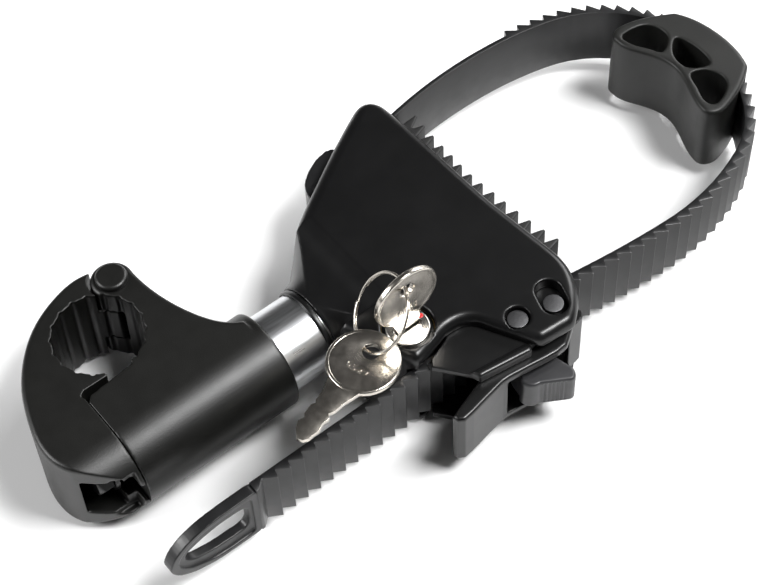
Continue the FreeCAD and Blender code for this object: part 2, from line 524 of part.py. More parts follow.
# ------------------------------------------------------------- release pawl
px, py = PAWL_PIN
hub = cyl(5.2, px, py, -8.8, 8.8)
nose = poly([(102.9, -75.1), (102.0, -77.2), (101.6, -82.0), (104.0, -84.0), (106.5, -77.2), (105.2, -76.6)], -8.8, 8.8)
arm = poly([(102.2, -81.5), (99.2, -88.0), (98.0, -95.0), (110.6, -95.0), (111.2, -83.0)], -6.4, 6.4)
thumb = runs([[(97.2, -94.0), (97.3, -96.4), (98.4, -98.0), (101.4, -99.2)], [(101.4, -99.2), (109.4, -104.0)],
              [(109.4, -104.0), (111.6, -104.4), (113.2, -102.6), (113.2, -99.6)], [(113.2, -99.6), (111.6, -93.0)],
              [(111.6, -93.0), (97.2, -94.0)]], -6.5, 6.5)
thumb = soften(thumb, 1.0, lambda e: flat_at(e, 6.5) or flat_at(e, -6.5))
rel = hub.fuse(nose).fuse(arm).fuse(thumb)
tdx, tdy = 8.0, -4.8
tl = math.hypot(tdx, tdy)
for i in range(6):
    f = 0.16 + 0.145 * i
    gx, gy = 101.4 + tdx * f, -99.2 + tdy * f
    rel = rel.cut(cyl(0.42, gx, gy, -5.6, 5.6))
rel = rel.cut(cyl(PIN_R + 0.04, px, py, -30, 30)).cut(cyl(4.6, px, py, -3.2, 3.2)).removeSplitter()
save("release_pawl", rel)


def leaf_spring(x, y, z0, z1, r0, r1, turns, t=0.35):
    """Torsion spring wound from flat strip."""
    n = int(turns * 28)
    a, b = [], []
    for i in range(n + 1):
        f = i / n
        w = 2 * math.pi * turns * f
        r = r0 + (r1 - r0) * f
        a.append((x + r * math.cos(w), y + r * math.sin(w)))
        b.append((x + (r + t) * math.cos(w), y + (r + t) * math.sin(w)))
    return poly(a + b[::-1], z0, z1)


save("pawl_spring", leaf_spring(px, py, -2.9, 2.9, 3.15, 4.1, 1.6))
save("lever_spring", leaf_spring(LEVER_PIN[0], LEVER_PIN[1], 3.2, 9.1, 3.15, 4.4, 1.8))

# --------------------------------------------------------------------- lock
lx, ly = LOCK
barrel = cyl(8.4, lx, ly, -6.0, 17.6)
barrel = barrel.cut(cyl(6.06, lx, ly, -10, 30)).cut(cyl(7.4, lx, ly, 16.0, 30))
save("lock_barrel", barrel)
nutr = hexa(18.6, lx, ly, 13.6, 16.9, 30).common(cyl(9.8, lx, ly, 13, 17)).cut(cyl(8.44, lx, ly, 10, 20))
save("lock_nut", nutr)
plug = cyl(6.0, lx, ly, -8.2, 16.1).fuse(cyl(7.3, lx, ly, 16.1, 19.3))
plug = soften(plug, 0.5, lambda e: flat_at(e, 19.3))
plug = plug.fuse(poly([(lx - 3, ly - 3), (lx + 3, ly - 3), (lx + 3, ly + 3), (lx - 3, ly + 3)], -11.6, -8.2))
KEY_T = 1.9
plug = plug.cut(box(lx - 4.7, lx + 4.7, ly - 1.25, ly + 1.25, -6.5, 30)).removeSplitter()
save("lock_plug", plug)
cam = poly([(lx - 5, ly - 4.6), (lx + 4, ly - 4.6), (lx + 13.5, ly - 2.6), (lx + 13.5, ly + 2.6), (lx + 4, ly + 4.6), (lx - 5, ly + 4.6)], -10.6, -8.3)
cam = cam.cut(poly([(lx - 3.05, ly - 3.05), (lx + 3.05, ly - 3.05), (lx + 3.05, ly + 3.05), (lx - 3.05, ly + 3.05)], -20, 0))
save("lock_cam", cam)
camscrew = cyl(4.2, lx, ly, -13.4, -11.7).cut(box(lx - 5, lx + 5, ly - 0.5, ly + 0.5, -14, -12.6))
save("cam_screw", camscrew)

# --------------------------------------------------------------------- keys
KEY_R = 12.0
BOW_Z = 36.6
HOLE_OFF = 4.2            # key hole from the bow's centre
HOLE_R = 2.95


def key_shape():
    """Key in its own plane: blade along -X, bow centre at the origin, thickness along Z."""
    bow = Part.makeCylinder(KEY_R, KEY_T, Vec(0, 0, -KEY_T / 2))
    bow = soften(bow, 0.5, lambda e: flat_at(e, KEY_T / 2) or flat_at(e, -KEY_T / 2))
    neckp = poly([(-9.0, 6.3), (-13.0, 5.1), (-16.0, 4.1), (-19.6, 3.9), (-20.6, 3.2), (-21.9, 4.15), (-25.4, 3.9), (-26.8, 3.1),
                  (-28.6, 4.0), (-31.2, 3.0), (-34.0, 0.6), (-33.6, -1.4), (-32.0, -2.7), (-30.0, -2.9), (-28.0, -3.6), (-25.4, -2.8),
                  (-22.8, -3.6), (-21.5, -2.3), (-19.8, -3.4), (-15.8, -4.1), (-13.0, -5.1), (-9.0, -6.3)],
                 -KEY_T / 2 + 0.15, KEY_T / 2 - 0.15)
    k = bow.fuse(neckp)
    k = k.cut(Part.makeCylinder(HOLE_R, 10, Vec(HOLE_OFF, 0, -5)))
    return k.removeSplitter()


k1 = key_shape()
# stand it up: blade down the lock, flat side towards -Y
k1.rotate(Vec(0, 0, 0), Vec(1, 0, 0), 90)
k1.rotate(Vec(0, 0, 0), Vec(0, 1, 0), -90)
k1.translate(Vec(lx - 0.4, ly, BOW_Z))
save("key_inserted", k1)
# the split ring: key 1's hole is at its top, key 2's hole and the way back under key 2
# are the ends of a chord
RING_R, RING_W = 12.9, 0.62
H1 = Vec(lx - 0.4, ly, BOW_Z + HOLE_OFF)
K2_Z = 23.6
CHORD = 9.0
turn = math.radians(66.95)
deep = RING_R + math.sqrt(RING_R ** 2 - CHORD ** 2)
fall = (H1.z - K2_Z) / deep
e_dir = Vec(math.cos(turn), math.sin(turn), 0)
p_dir = Vec(-math.sin(turn), math.cos(turn), 0)
d_dir = p_dir * math.sqrt(1 - fall ** 2) + Vec(0, 0, -fall)
rc = H1 + d_dir * RING_R
nrm = d_dir.cross(e_dir)
H2 = H1 + d_dir * deep - e_dir * CHORD
K2_TURN = 16.0
K2 = (H2.x - HOLE_OFF * math.cos(math.radians(K2_TURN)), H2.y - HOLE_OFF * math.sin(math.radians(K2_TURN)), K2_Z)
print("H1", H1, "H2", H2, "K2", K2, "ring", rc, nrm)
k2 = key_shape()
k2.rotate(Vec(0, 0, 0), Vec(0, 0, 1), K2_TURN)
k2.translate(Vec(K2[0], K2[1], K2[2]))
save("key_spare", k2)
ring = Part.makeTorus(RING_R, RING_W, rc, nrm)
save("key_ring", ring)
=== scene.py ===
import bpy, bmesh, math, json
from mathutils import Vector, Matrix, noise


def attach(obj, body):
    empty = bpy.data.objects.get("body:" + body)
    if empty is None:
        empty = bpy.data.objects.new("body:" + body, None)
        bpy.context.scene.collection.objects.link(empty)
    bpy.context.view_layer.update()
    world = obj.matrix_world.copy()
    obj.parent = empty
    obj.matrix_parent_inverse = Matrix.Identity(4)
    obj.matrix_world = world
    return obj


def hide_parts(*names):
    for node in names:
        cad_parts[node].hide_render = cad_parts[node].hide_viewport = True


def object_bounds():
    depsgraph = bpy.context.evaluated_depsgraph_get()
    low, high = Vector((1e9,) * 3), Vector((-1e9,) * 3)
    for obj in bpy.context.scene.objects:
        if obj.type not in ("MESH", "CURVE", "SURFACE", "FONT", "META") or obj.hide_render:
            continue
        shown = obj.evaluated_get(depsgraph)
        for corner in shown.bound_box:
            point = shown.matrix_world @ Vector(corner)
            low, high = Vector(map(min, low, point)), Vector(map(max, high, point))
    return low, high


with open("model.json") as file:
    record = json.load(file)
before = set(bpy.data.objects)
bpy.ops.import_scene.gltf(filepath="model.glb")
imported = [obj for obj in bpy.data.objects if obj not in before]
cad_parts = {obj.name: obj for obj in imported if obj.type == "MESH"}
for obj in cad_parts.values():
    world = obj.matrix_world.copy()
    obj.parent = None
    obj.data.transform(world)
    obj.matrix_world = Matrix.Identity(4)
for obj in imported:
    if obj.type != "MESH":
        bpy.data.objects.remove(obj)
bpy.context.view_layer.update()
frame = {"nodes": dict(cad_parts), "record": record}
MM = 0.001
BODY = {n: b for b, ns in frame["record"]["behaviour"]["bodies"].items() for n in ns}
SLOT = {s["node"]: s["material_slot"] for s in frame["record"]["subparts"]}


# ------------------------------------------------------------------ materials
def new_mat(name):
    m = bpy.data.materials.new(name)
    m.use_nodes = True
    nt = m.node_tree
    for n in list(nt.nodes):
        nt.nodes.remove(n)
    out = nt.nodes.new("ShaderNodeOutputMaterial")
    p = nt.nodes.new("ShaderNodeBsdfPrincipled")
    nt.links.new(p.outputs["BSDF"], out.inputs["Surface"])
    return m, nt, p


def tex(nt, kind, scale, detail=2.0, stretch=None, rough=0.5):
    co = nt.nodes.new("ShaderNodeTexCoord")
    src = co.outputs["Object"]
    if stretch:
        mp = nt.nodes.new("ShaderNodeMapping")
        mp.inputs["Scale"].default_value = stretch
        nt.links.new(src, mp.inputs["Vector"])
        src = mp.outputs["Vector"]
    if kind == "noise":
        t = nt.nodes.new("ShaderNodeTexNoise")
        t.inputs["Scale"].default_value = scale
        t.inputs["Detail"].default_value = detail
        t.inputs["Roughness"].default_value = rough
        nt.links.new(src, t.inputs["Vector"])
        return t.outputs["Fac"]
    t = nt.nodes.new("ShaderNodeTexVoronoi")
    t.inputs["Scale"].default_value = scale
    nt.links.new(src, t.inputs["Vector"])
    return t.outputs["Distance"]


def ramp(nt, fac, stops):
    r = nt.nodes.new("ShaderNodeValToRGB")
    while len(r.color_ramp.elements) < len(stops):
        r.color_ramp.elements.new(0.5)
    for e, (pos, col) in zip(r.color_ramp.elements, stops):
        e.position = pos
        e.color = (*col, 1.0)
    nt.links.new(fac, r.inputs["Fac"])
    return r.outputs["Color"]


def rng(nt, fac, lo, hi, a=0.3, b=0.7):
    r = nt.nodes.new("ShaderNodeMapRange")
    r.inputs["From Min"].default_value = a
    r.inputs["From Max"].default_value = b
    r.inputs["To Min"].default_value = lo
    r.inputs["To Max"].default_value = hi
    nt.links.new(fac, r.inputs["Value"])
    return r.outputs["Result"]


def bump(nt, p, heights):
    """heights: (socket, strength, distance) chained into the shader's normal."""
    last = None
    for sock, strength, dist in heights:
        b = nt.nodes.new("ShaderNodeBump")
        b.inputs["Strength"].default_value = strength
        b.inputs["Distance"].default_value = dist
        nt.links.new(sock, b.inputs["Height"])
        if last is not None:
            nt.links.new(last, b.inputs["Normal"])
        last = b.outputs["Normal"]
    nt.links.new(last, p.inputs["Normal"])


def grainy(name, dark, light, rlo, rhi, grain=1500, strength=0.25, dist=0.00006, metallic=0.0, spec=0.5, cloud=60, coat=0.0,
           edge=None):
    m, nt, p = new_mat(name)
    c = tex(nt, "noise", cloud, 4.0)
    col = ramp(nt, c, [(0.3, dark), (0.7, light)])
    if edge:
        g = nt.nodes.new("ShaderNodeNewGeometry")
        f = rng(nt, g.outputs["Pointiness"], 0.0, 1.0, 0.53, 0.62)
        mix = nt.nodes.new("ShaderNodeMix")
        mix.data_type = "RGBA"
        nt.links.new(f, mix.inputs["Factor"])
        nt.links.new(col, mix.inputs["A"])
        mix.inputs["B"].default_value = (*edge, 1.0)
        col = mix.outputs["Result"]
    nt.links.new(col, p.inputs["Base Color"])
    g2 = tex(nt, "noise", grain, 3.0)
    nt.links.new(rng(nt, tex(nt, "noise", cloud * 3, 5.0), rlo, rhi), p.inputs["Roughness"])
    p.inputs["Metallic"].default_value = metallic
    p.inputs["Specular IOR Level"].default_value = spec
    p.inputs["Coat Weight"].default_value = coat
    p.inputs["Coat Roughness"].default_value = 0.25
    bump(nt, p, [(g2, strength, dist)])
    return m


def brushed(name, dark, light, rlo, rhi, stretch, scale=900, strength=0.12):
    m, nt, p = new_mat(name)
    f = tex(nt, "noise", scale, 3.0, stretch)
    nt.links.new(ramp(nt, f, [(0.3, dark), (0.7, light)]), p.inputs["Base Color"])
    nt.links.new(rng(nt, f, rlo, rhi), p.inputs["Roughness"])
    p.inputs["Metallic"].default_value = 1.0
    bump(nt, p, [(f, strength, 0.00001)])
    return m


MAT = {
    "cast_black": grainy("cast_black", (0.0034, 0.0034, 0.0029), (0.0058, 0.0058, 0.0051), 0.385, 0.415, 2200, 0.6, 0.00006, spec=0.5),
    "plastic_black": grainy("plastic_black", (0.0032, 0.0032, 0.0034), (0.0048, 0.0048, 0.005), 0.31, 0.335, 2200, 0.18, 0.00004, spec=0.4),
    "steel_black": grainy("steel_black", (0.004, 0.004, 0.0041), (0.006, 0.006, 0.0061), 0.30, 0.335, 1800, 0.15, 0.00004, spec=0.45),
    "strap_black": grainy("strap_black", (0.0055, 0.0055, 0.006), (0.009, 0.009, 0.0097), 0.32, 0.42, 1500, 0.2, 0.00005),
    "rubber_black": grainy("rubber_black", (0.007, 0.007, 0.007), (0.012, 0.012, 0.012), 0.5, 0.62, 1200, 0.3, 0.00006),
    "pad_rubber": grainy("pad_rubber", (0.0065, 0.0067, 0.006), (0.010, 0.0102, 0.0092), 0.44, 0.5, 1300, 0.3, 0.00006, spec=0.4),
    "thumb_grey": grainy("thumb_grey", (0.022, 0.022, 0.024), (0.032, 0.032, 0.034), 0.34, 0.46, 1500, 0.2, 0.00005),
    "pin_grey": brushed("pin_grey", (0.15, 0.15, 0.155), (0.19, 0.19, 0.195), 0.36, 0.42, (1, 1, 1), 3000, 0.03),
    "red_paint": grainy("red_paint", (0.62, 0.01, 0.012), (0.72, 0.02, 0.02), 0.3, 0.4, 900, 0.1),
    "tube_alu": brushed("tube_alu", (0.58, 0.59, 0.60), (0.70, 0.71, 0.73), 0.27, 0.34, (0.08, 1, 1), 900, 0.04),
    "steel_zinc": brushed("steel_zinc", (0.36, 0.36, 0.37), (0.5, 0.5, 0.52), 0.3, 0.42, (1, 1, 0.1), 700),
    "spring_steel": brushed("spring_steel", (0.4, 0.4, 0.41), (0.55, 0.55, 0.56), 0.25, 0.35, (1, 1, 1), 900),
    "brass": brushed("brass", (0.55, 0.40, 0.18), (0.7, 0.52, 0.26), 0.25, 0.38, (1, 1, 0.1), 700),
    "key_nickel": brushed("key_nickel", (0.60, 0.56, 0.50), (0.64, 0.60, 0.54), 0.22, 0.27, (1, 1, 0.35), 400, 0.01),
    "plug_nickel": brushed("plug_nickel", (0.68, 0.65, 0.60), (0.75, 0.72, 0.67), 0.24, 0.3, (0.3, 1, 1), 400, 0.01),
}


def paint(obj, mat):
    obj.data.materials.clear()
    obj.data.materials.append(MAT[mat] if isinstance(mat, str) else mat)


for n, o in frame["nodes"].items():
    paint(o, SLOT[n])


# -------------------------------------------------------------------- helpers
def link(obj):
    bpy.context.scene.collection.objects.link(obj)
    return obj


def mesh_obj(name, verts, faces, smooth=True):
    me = bpy.data.meshes.new(name)
    me.from_pydata([tuple(v) for v in verts], [], faces)
    me.validate()
    me.update()
    if smooth:
        me.shade_smooth()
    return link(bpy.data.objects.new(name, me))


def put(obj, body, slot, *nodes, mat=None):
    paint(obj, mat or slot)
    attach(obj, body)
    if nodes:
        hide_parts(*nodes)
    return obj


def baked(obj):
    dg = bpy.context.evaluated_depsgraph_get()
    me = bpy.data.meshes.new_from_object(obj.evaluated_get(dg))
    obj.modifiers.clear()
    obj.data = me
    return obj


def from_pts(name, pts, z0, z1, smooth=False):
    """Upright prism from a plan outline in mm."""
    n = len(pts)
    v = [(x * MM, y * MM, z0 * MM) for x, y in pts] + [(x * MM, y * MM, z1 * MM) for x, y in pts]
    f = [tuple(range(n))[::-1], tuple(range(n, 2 * n))] + [(i, (i + 1) % n, (i + 1) % n + n, i + n) for i in range(n)]
    o = mesh_obj(name, v, f, smooth)
    fix_normals(o)
    return o


def fix_normals(o):
    bm = bmesh.new(); bm.from_mesh(o.data)
    bmesh.ops.recalc_face_normals(bm, faces=bm.faces)
    bm.to_mesh(o.data); bm.free()


def lathe_x(name, prof, y=-32.4, n=96):
    """prof: closed list of (x, r) in mm, turned about the tube's axis."""
    v, f = [], []
    k = len(prof)
    for i in range(n):
        a = 2 * math.pi * i / n
        for x, r in prof:
            v.append((x * MM, (y + r * math.cos(a)) * MM, r * math.sin(a) * MM))
    for i in range(n):
        j = (i + 1) % n
        for q in range(k):
            t = (q + 1) % k
            f.append((i * k + q, j * k + q, j * k + t, i * k + t))
    o = mesh_obj(name, v, f, False)
    fix_normals(o)
    return o


def circle(x, y, r, n=64):
    return [(x + r * math.cos(2 * math.pi * i / n), y + r * math.sin(2 * math.pi * i / n)) for i in range(n)]


def disc(x, y, r, z0, z1, n=64):
    return from_pts("t", circle(x, y, r, n), z0, z1)


def bool_op(o, tool, op="DIFFERENCE"):
    m = o.modifiers.new("b", "BOOLEAN")
    m.operation = op
    m.solver = "MANIFOLD"
    m.object = tool
    baked(o)
    bpy.data.objects.remove(tool, do_unlink=True)
    return o


def softened(o, voxel, smooth=2, keep=0.4):
    """Turns the shape into an even mesh with softly rounded edges, as moulded or cast pieces have."""
    r = o.modifiers.new("r", "REMESH")
    r.mode = "VOXEL"
    r.voxel_size = voxel * MM
    r.adaptivity = 0.0
    if smooth:
        c = o.modifiers.new("s", "SMOOTH")
        c.factor = 0.5
        c.iterations = smooth
    d = o.modifiers.new("d", "DECIMATE")
    d.ratio = keep
    baked(o)
    o.data.shade_smooth()
    return o


def welded(node, name):
    """A copy of a fixed-frame mesh with its split points joined again."""
    me = frame["nodes"][node].data.copy()
    o = link(bpy.data.objects.new(name, me))
    bm = bmesh.new()
    bm.from_mesh(me)
    bmesh.ops.remove_doubles(bm, verts=bm.verts, dist=2e-6)
    bm.to_mesh(me)
    bm.free()
    return o


def soft_node(node, voxel, smooth=2, keep=0.4, mat=None, name=None):
    o = welded(node, name or node + "_shell")
    softened(o, voxel, smooth, keep)
    put(o, BODY[node], SLOT[node], node, mat=mat)
    return o


for node, vox, sm, keep, mat in (
        ("clamp_body", 0.42, 3, 0.30, None), ("clamp_jaw", 0.42, 3, 0.30, None), ("clamp_hinge_pin", 0.3, 2, 0.4, None),
        ("tube_collar", 0.3, 2, 0.5, None), ("clamp_bolt", 0.35, 1, 0.4, None), ("jaw_liner", 0.36, 1, 0.35, None),
        ("ratchet_frame", 0.32, 2, 0.3, None), ("ratchet_lever", 0.3, 3, 0.3, None),
        ("pawl_pin", 0.25, 2, 0.35, "pin_grey"), ("lever_pin", 0.25, 2, 0.35, "pin_grey"), ("release_pawl", 0.28, 2, 0.35, "thumb_grey"),
        ("lock_plug", 0.25, 2, 0.4, "plug_nickel")):
    shell = soft_node(node, vox, sm, keep, mat)
    if node == "clamp_hinge_pin":      # leaves the jaw free to turn on it
        for q in shell.data.vertices:
            q.co.x = 0.0155 + (q.co.x - 0.0155) * 0.97
            q.co.y = 0.015 + (q.co.y - 0.015) * 0.97

# the pad's three windows have rounded walls
def round_loop(pts):
    out = []
    n = len(pts)
    for i in range(n):
        p0, p1, p2, p3 = pts[i - 1], pts[i], pts[(i + 1) % n], pts[(i + 2) % n]
        for j in range(6):
            t = j / 6
            out.append(tuple(0.5 * ((2 * p1[q]) + (-p0[q] + p2[q]) * t + (2 * p0[q] - 5 * p1[q] + 4 * p2[q] - p3[q]) * t * t
                                    + (-p0[q] + 3 * p1[q] - 3 * p2[q] + p3[q]) * t ** 3) for q in (0, 1)))
    return out


pad = welded("strap_pad", "pad_shell")
for win in ([(214.1, -12.6), (222.4, -13.4), (226.2, -17.8), (225.7, -23.6), (219.9, -27.0), (216.8, -22.4), (214.0, -17.4)],
            [(222.0, -30.4), (228.0, -25.4), (230.4, -33.5), (228.8, -41.6), (221.6, -37.8)],
            [(220.4, -40.9), (225.4, -42.4), (228.2, -47.6), (226.6, -52.4), (221.1, -55.5), (217.3, -55.6), (216.0, -52.4), (217.9, -47.0)]):
    bool_op(pad, from_pts("c", round_loop(win), -30, 30))
softened(pad, 0.42, 3, 0.35)
put(pad, BODY["strap_pad"], SLOT["strap_pad"], "strap_pad")

# flat heads of the two cross pins
for tag, x, y in (("pawl", 106.3, -81.9), ("lever", 119.0, -84.6)):
    for side, z0, z1 in (("a", 17.4, 18.85), ("b", -18.85, -17.4)):
        h = from_pts(tag + "_pin_head_" + side, circle(x, y, 3.45, 72), z0, z1)
        m = h.modifiers.new("e", "BEVEL")
        m.width = 0.3 * MM
        m.segments = 3
        m.limit_method = "ANGLE"
        baked(h)
        h.data.shade_smooth()
        h.data.set_sharp_from_angle(angle=math.radians(25))
        put(h, BODY[tag + "_pin"], SLOT[tag + "_pin"], mat="pin_grey")

# -------------------------------------------------------------------- housing
LEFT = [(59.9, -17.0), (62.6, -16.0), (65.4, -14.2), (68.4, -12.0), (71.5, -9.6), (77.0, -5.7), (83.0, -1.7), (94.0, 5.0), (104.0, 10.9),
        (112.0, 15.3), (118.0, 18.4)]
TOP = [(120.4, 19.4), (123.0, 19.5), (125.3, 18.4), (126.9, 16.6), (127.8, 14.2)]
RIGHT = [(128.3, 9.0), (128.8, -2.0), (129.2, -12.0), (129.5, -26.0), (130.0, -40.0), (131.4, -54.0), (132.6, -66.0), (133.0, -70.5)]
CORNER = [(132.9, -74.0), (132.3, -77.6), (131.0, -81.2), (128.9, -85.0), (126.4, -88.4), (123.6, -91.4), (121.4, -93.4), (119.4, -94.4)]
RIM = [(112.8, -93.9), (108.0, -93.5), (106.4, -93.0), (105.2, -91.4), (101.8, -85.0), (98.6, -79.2), (97.0, -76.4), (95.4, -73.8),
       (93.4, -71.9), (90.6, -70.9), (87.6, -70.7), (85.0, -71.1), (79.0, -72.7), (74.2, -74.1), (72.2, -74.2), (70.8, -73.2)]
LOW = [(68.6, -68.6), (65.8, -62.0), (63.0, -55.4), (60.4, -49.2)]
PLAN = LEFT + TOP + RIGHT + CORNER + RIM + LOW


def resample(pts, step, closed=True):
    out = []
    n = len(pts)
    for i in range(n if closed else n - 1):
        a, b = pts[i], pts[(i + 1) % n]
        d = math.hypot(b[0] - a[0], b[1] - a[1])
        k = max(1, int(round(d / step)))
        for j in range(k):
            out.append((a[0] + (b[0] - a[0]) * j / k, a[1] + (b[1] - a[1]) * j / k))
    return out


def relax(pts, times):
    for _ in range(times):
        n = len(pts)
        pts = [((pts[i - 1][0] + 2 * pts[i][0] + pts[(i + 1) % n][0]) / 4, (pts[i - 1][1] + 2 * pts[i][1] + pts[(i + 1) % n][1]) / 4)
               for i in range(n)]
    return pts


def inset(pts, ds):
    """Moves each point of a clockwise outline inwards by its own amount."""
    n = len(pts)
    out = []
    for i in range(n):
        ax, ay = pts[i - 1]; bx, by = pts[(i + 1) % n]
        tx, ty = bx - ax, by - ay
        l = math.hypot(tx, ty)
        out.append((pts[i][0] + ty / l * ds[i], pts[i][1] - tx / l * ds[i]))
    return out


plan_pts = relax(resample(PLAN, 1.0), 2)
side_r = []
for x, y in plan_pts:
    leftish = (y > -12 and x < 121)
    side_r.append(5.0 if leftish else 3.4)
for _ in range(14):
    n = len(side_r)
    side_r = [(side_r[i - 1] + side_r[i] + side_r[(i + 1) % n]) / 3 for i in range(n)]


def head_block():
    """One half of the head as a solid block, z 0..20, with its rounded rim."""
    rings = [([-0.15] * len(plan_pts), -0.5), ([-0.15] * len(plan_pts), 15.0)]
    for k in range(0, 9):
        t = math.radians(90 * k / 8)
        rings.append(([r * (1 - math.cos(t)) - 0.12 * math.cos(t) for r in side_r], 16.2 + 3.85 * math.sin(t)))
    v, f = [], []
    n = len(plan_pts)
    for ds, z in rings:
        for x, y in inset(plan_pts, ds):
            v.append((x * MM, y * MM, z * MM))
    for k in range(len(rings) - 1):
        for i in range(n):
            j = (i + 1) % n
            f.append((k * n + i, k * n + j, (k + 1) * n + j, (k + 1) * n + i))
    f.append(tuple(range(n)))
    f.append(tuple((len(rings) - 1) * n + i for i in range(n))[::-1])
    o = mesh_obj("head", v, f, False)
    fix_normals(o)
    return o


def smooth_steps(pts, n=40):
    """Catmull-Rom through (x, v) points."""
    out = []
    for i in range(len(pts) - 1):
        p0 = pts[max(i - 1, 0)]; p1 = pts[i]; p2 = pts[i + 1]; p3 = pts[min(i + 2, len(pts) - 1)]
        for j in range(8):
            t = j / 8
            out.append(tuple(0.5 * ((2 * p1[q]) + (-p0[q] + p2[q]) * t + (2 * p0[q] - 5 * p1[q] + 4 * p2[q] - p3[q]) * t * t
                                    + (-p0[q] + 3 * p1[q] - 3 * p2[q] + p3[q]) * t ** 3) for q in (0, 1)))
    out.append(pts[-1])
    return out


def half_shell(name, rear):
    o = head_block()
    # side view thins towards the neck
    side = smooth_steps([(58.0, 15.6), (62.0, 15.8), (66.0, 16.2), (71.5, 17.4), (76.0, 18.9), (80.0, 20.1), (84.0, 21.6)])
    pr = side + [(84.0, 40.0), (50.0, 40.0), (50.0, 15.6)]
    k = len(pr)
    v = [(x * MM, -48.6 * MM, z * MM) for x, z in pr] + [(x * MM, 60 * MM, z * MM) for x, z in pr]
    f = [tuple(range(k)), tuple(range(k, 2 * k))[::-1]] + [(i, (i + 1) % k, (i + 1) % k + k, i + k) for i in range(k)]
    c = mesh_obj("c", v, f, False)
    fix_normals(c)
    bool_op(o, c)
    # round neck
    ring_p = smooth_steps([(60.0, 15.7), (62.0, 16.2), (65.0, 18.2), (70.0, 24.2), (75.0, 33.0), (80.0, 45.0)])
    c = lathe_x("c", [(50.0, 15.7)] + ring_p + [(80.0, 70.0), (50.0, 70.0)])
    keep_lock = from_pts("k", [(40, -48.6), (90, -48.6), (90, 60), (40, 60)], -80, 80)
    bool_op(c, keep_lock, "INTERSECT")
    bool_op(o, c)
    if rear:
        o.data.transform(Matrix.Scale(-1, 4, (0, 0, 1)))
        o.data.flip_normals()
    node = "housing_rear" if rear else "housing_front"
    shell = welded(node, name)
    bool_op(shell, o, "INTERSECT")
    o = softened(shell, 0.42, 3, 0.3)
    put(o, "head", "plastic_black", "housing_rear" if rear else "housing_front")
    return o


half_shell("head_front_shell", False)
half_shell("head_rear_shell", True)

# ---------------------------------------------------------------------- strap
SEGS = [(99.5, 0.0), (8.64, -49.9), (15.32, 0.0), (42.82, 365.5), (39.7, 87.0), (20.99, 35.7), (2.52, 44.15),
        (85.69, 46.7), (22.95, 130.2), (44.46, 169.1), (43.5, 0.0)]
path = []
x, y, h, s_ = 6.5, -72.0, 0.0, 0.0
path.append((x, y, h, s_))
for L, Rr in SEGS:
    k = max(1, int(round(L / 1.3)))
    for i in range(k):
        d = L / k
        if Rr == 0.0:
            x += d * math.cos(h); y += d * math.sin(h)
        else:
            h2 = h + d / Rr
            x += Rr * (math.sin(h2) - math.sin(h)); y += -Rr * (math.cos(h2) - math.cos(h))
            h = h2
        s_ += d
        path.append((x, y, h, s_))
S_END = path[-1][3]


def at(s, d):
    for a, b in zip(path[:-1], path[1:]):
        if a[3] <= s <= b[3] + 1e-9:
            f = (s - a[3]) / (b[3] - a[3])
            hh = a[2] + (b[2] - a[2]) * f
            return (a[0] + (b[0] - a[0]) * f + d * math.sin(hh), a[1] + (b[1] - a[1]) * f - d * math.cos(hh))
    a = path[-1]
    return (a[0] + d * math.sin(a[2]), a[1] - d * math.cos(a[2]))


# cross-section along the strap: (distance, height of the outer face), with softened tooth tips and roots
T, TH, PITCH, RUN = 1.7, 2.35, 5.04, 4.35
heights = [(0.0, 4.05), (0.9, 4.0), (1.3, 3.8), (3.6, T + 0.1)]
s0 = 15.4 - 6.5 - PITCH
ss = s0
last = None
while ss + PITCH < 332.0:
    heights += [(ss + 0.02, T), (ss + 0.3, T + 0.05), (ss + RUN - 0.35, T + TH - 0.16), (ss + RUN - 0.12, T + TH - 0.02), (ss + RUN + 0.06, T + TH - 0.12),
                (ss + PITCH - 0.12, T + 0.3)]
    ss += PITCH
heights += [(ss, T), (ss + 0.5, T)]
q = ss + 1.5
while q < S_END:
    heights.append((q, T)); q += 1.5
heights.append((S_END, T))
# rows across the strap: z and how far the outline is drawn in there
rows = [(-12.5, 0.26), (-12.42, 0.08), (-12.2, 0.0), (12.2, 0.0), (12.42, 0.08), (12.5, 0.26)]
v, f = [], []
m = len(heights)
for z, ins in rows:
    for s1, hgt in heights:
        X, Y = at(s1, max(hgt - ins, 0.3)); v.append((X * MM, Y * MM, z * MM))
    for s1, hgt in heights:
        X, Y = at(s1, ins); v.append((X * MM, Y * MM, z * MM))
w2 = 2 * m
for r in range(len(rows) - 1):
    for i in range(m - 1):
        f.append((r * w2 + i, r * w2 + i + 1, (r + 1) * w2 + i + 1, (r + 1) * w2 + i))
        f.append((r * w2 + m + i + 1, r * w2 + m + i, (r + 1) * w2 + m + i, (r + 1) * w2 + m + i + 1))
    f.append((r * w2, r * w2 + m, (r + 1) * w2 + m, (r + 1) * w2))
    f.append((r * w2 + m - 1, (r + 1) * w2 + m - 1, (r + 1) * w2 + 2 * m - 1, r * w2 + 2 * m - 1))
for r in (0, len(rows) - 1):
    for i in range(m - 1):
        f.append((r * w2 + i, r * w2 + i + 1, r * w2 + m + i + 1, r * w2 + m + i))
band = mesh_obj("strap_band", v, f)
fix_normals(band)
band.data.set_sharp_from_angle(angle=math.radians(28))
put(band, "head", "strap_black", "strap")

# tail tip
outl = [(6.9, 12.35), (-0.3, 12.4), (-8.0, 12.3), (-14.3, 11.6), (-20.4, 9.4), (-25.0, 5.6), (-27.4, 1.2), (-27.0, -2.0),
        (-24.2, -6.2), (-19.0, -9.6), (-12.0, -11.8), (-7.1, -12.3), (6.9, -12.35)]
slot_l = [(1.6, 6.2), (3.0, 4.0), (3.0, -4.0), (1.6, -6.2), (-10.6, -5.6), (-18.5, -3.4), (-21.6, 0.0), (-20.6, 3.0), (-14.0, 5.4), (-7.4, 6.6)]


